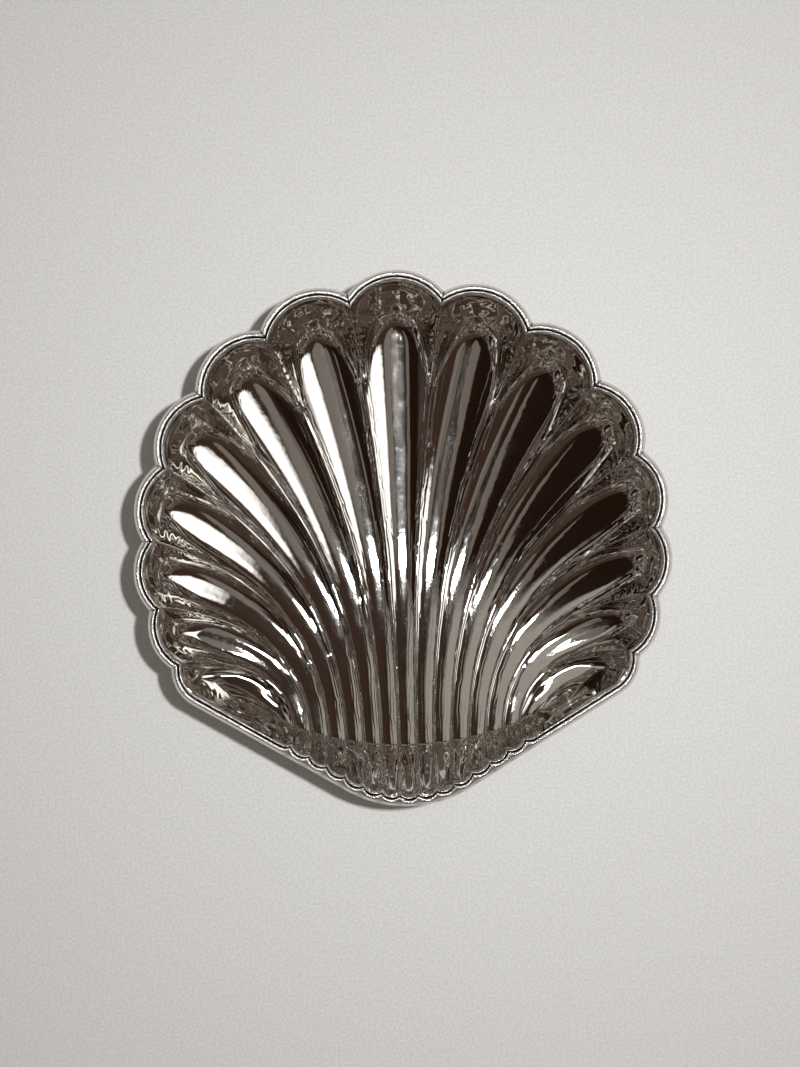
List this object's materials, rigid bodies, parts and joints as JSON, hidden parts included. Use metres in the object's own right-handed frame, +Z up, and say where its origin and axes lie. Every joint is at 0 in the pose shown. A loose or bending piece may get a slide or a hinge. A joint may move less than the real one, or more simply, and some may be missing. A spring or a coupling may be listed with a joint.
{
  "type": "shell dish",
  "caption": "Polished silver dish shaped as a scallop shell, fluted from a narrow hinge to a lobed rim with a wire border, standing on ball feet.",
  "frame": {"origin": "middle of the plan's bounding box, on the surface that the feet stand on", "axes": "+Z up, +Y from the hinge towards the middle lobe, +X to the right seen from above with the hinge nearest"},
  "size_m": [0.1292, 0.1288, 0.0302],
  "materials": {
    "bowl_silver": "mirror polish with fine handling scratches",
    "border_silver": "polished crown, fine file marks on the outer bevel",
    "foot_silver": "polished, slightly duller than the bowl"
  },
  "bodies": {
    "root": {"fluted_bowl": "bowl_silver", "lobe_border_left_6": "border_silver", "lobe_border_left_5": "border_silver", "lobe_border_left_4": "border_silver", "lobe_border_left_3": "border_silver", "lobe_border_left_2": "border_silver", "lobe_border_left_1": "border_silver", "lobe_border_middle": "border_silver", "lobe_border_right_1": "border_silver", "lobe_border_right_2": "border_silver", "lobe_border_right_3": "border_silver", "lobe_border_right_4": "border_silver", "lobe_border_right_5": "border_silver", "lobe_border_right_6": "border_silver", "hinge_border": "border_silver", "front_foot_left": "foot_silver", "front_foot_right": "foot_silver", "hinge_foot": "foot_silver"}
  },
  "joints": []
}
